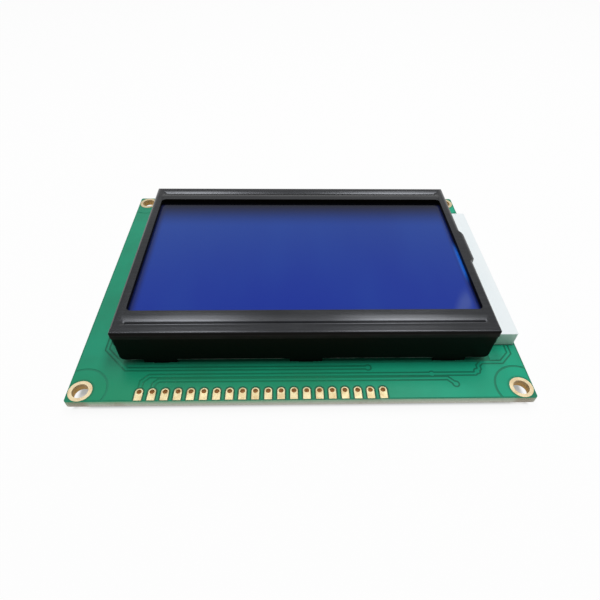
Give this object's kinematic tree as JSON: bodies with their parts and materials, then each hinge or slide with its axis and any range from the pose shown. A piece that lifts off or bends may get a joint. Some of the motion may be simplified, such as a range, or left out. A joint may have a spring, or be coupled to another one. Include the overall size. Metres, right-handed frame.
{
  "type": "graphic lcd module",
  "caption": "Graphic LCD module: blue display under a black stamped steel bezel, on a green circuit board with plated corner holes, a row of header holes and a white backlight tongue.",
  "frame": {"origin": "under the middle of the circuit board, on the surface that the module lies on", "axes": "+X along the board to the backlight tongue, +Y from the header edge to the rear edge, +Z out of the display"},
  "size_m": [0.093, 0.07, 0.0132],
  "materials": {
    "solder_mask": "satin",
    "masked_copper": "satin",
    "plating": "satin",
    "header_gold": "satin",
    "bezel_black": "satin",
    "polariser": "gloss",
    "cell_glass": "gloss",
    "zebra_rubber": "matte",
    "backlight_white": "satin",
    "diffuser_milk": "matte",
    "lamp_laminate": "matte",
    "lamp_resin": "gloss",
    "tin": "satin",
    "solder": "gloss",
    "driver_resin": "satin",
    "print_white": "matte",
    "resistor_black": "satin",
    "capacitor_tan": "satin",
    "chip_black": "matte"
  },
  "bodies": {
    "root": {"printed_board": "solder_mask", "front_copper": "masked_copper", "front_tracks": "masked_copper", "rear_tracks": "masked_copper", "mounting_rings": "plating", "header_pads": "header_gold", "bezel": "bezel_black", "front_polariser": "polariser", "upper_glass": "cell_glass", "lower_glass": "cell_glass", "rear_polariser": "polariser", "front_zebra": "zebra_rubber", "rear_zebra": "zebra_rubber", "backlight_frame": "backlight_white", "backlight_diffuser": "diffuser_milk", "lamp_board": "lamp_laminate", "lamps": "lamp_resin", "backlight_terminals": "tin", "terminal_rings": "plating", "terminal_solder": "solder", "row_driver_cap": "driver_resin", "left_column_driver_cap": "driver_resin", "right_column_driver_cap": "driver_resin", "dam_rings": "print_white", "component_lands": "plating", "component_solder": "solder", "resistor_bodies": "resistor_black", "resistor_ends": "tin", "capacitor_bodies": "capacitor_tan", "capacitor_ends": "tin", "converter_body": "chip_black", "converter_leads": "tin"}
  },
  "joints": []
}
